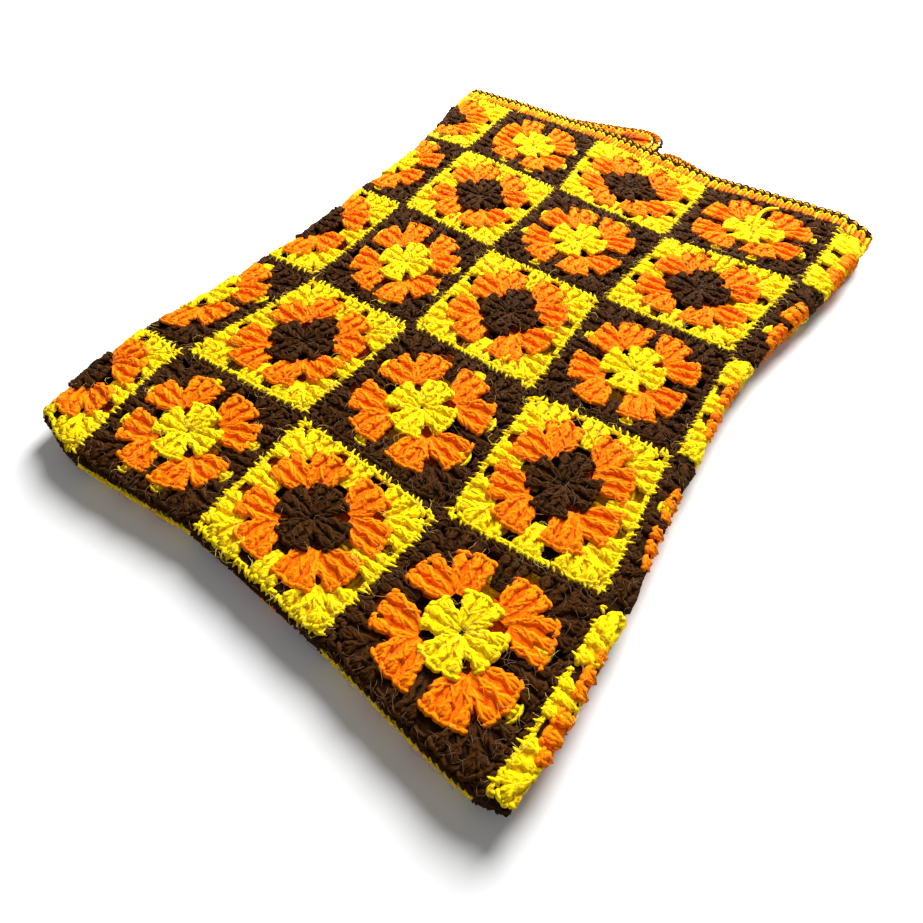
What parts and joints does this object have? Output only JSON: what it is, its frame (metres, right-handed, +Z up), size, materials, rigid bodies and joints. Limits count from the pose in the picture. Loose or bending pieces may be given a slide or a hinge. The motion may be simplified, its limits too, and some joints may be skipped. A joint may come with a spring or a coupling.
{
  "type": "granny square blanket",
  "caption": "Crocheted blanket of joined granny squares with a crocheted border, its sides turned under and folded in half.",
  "frame": {"origin": "centre of the folded blanket's outline, on the surface that it rests on", "axes": "+Y from the front fold to the hems, the long way; +Z up through the layers; +X across"},
  "size_m": [0.4004, 0.5586, 0.0232],
  "materials": {
    "squares_yarn": "matt fuzzy yarn",
    "border_yarn": "matt fuzzy yarn"
  },
  "bodies": {
    "root": {"joined_squares": "squares_yarn", "crochet_border": "border_yarn"}
  },
  "joints": []
}
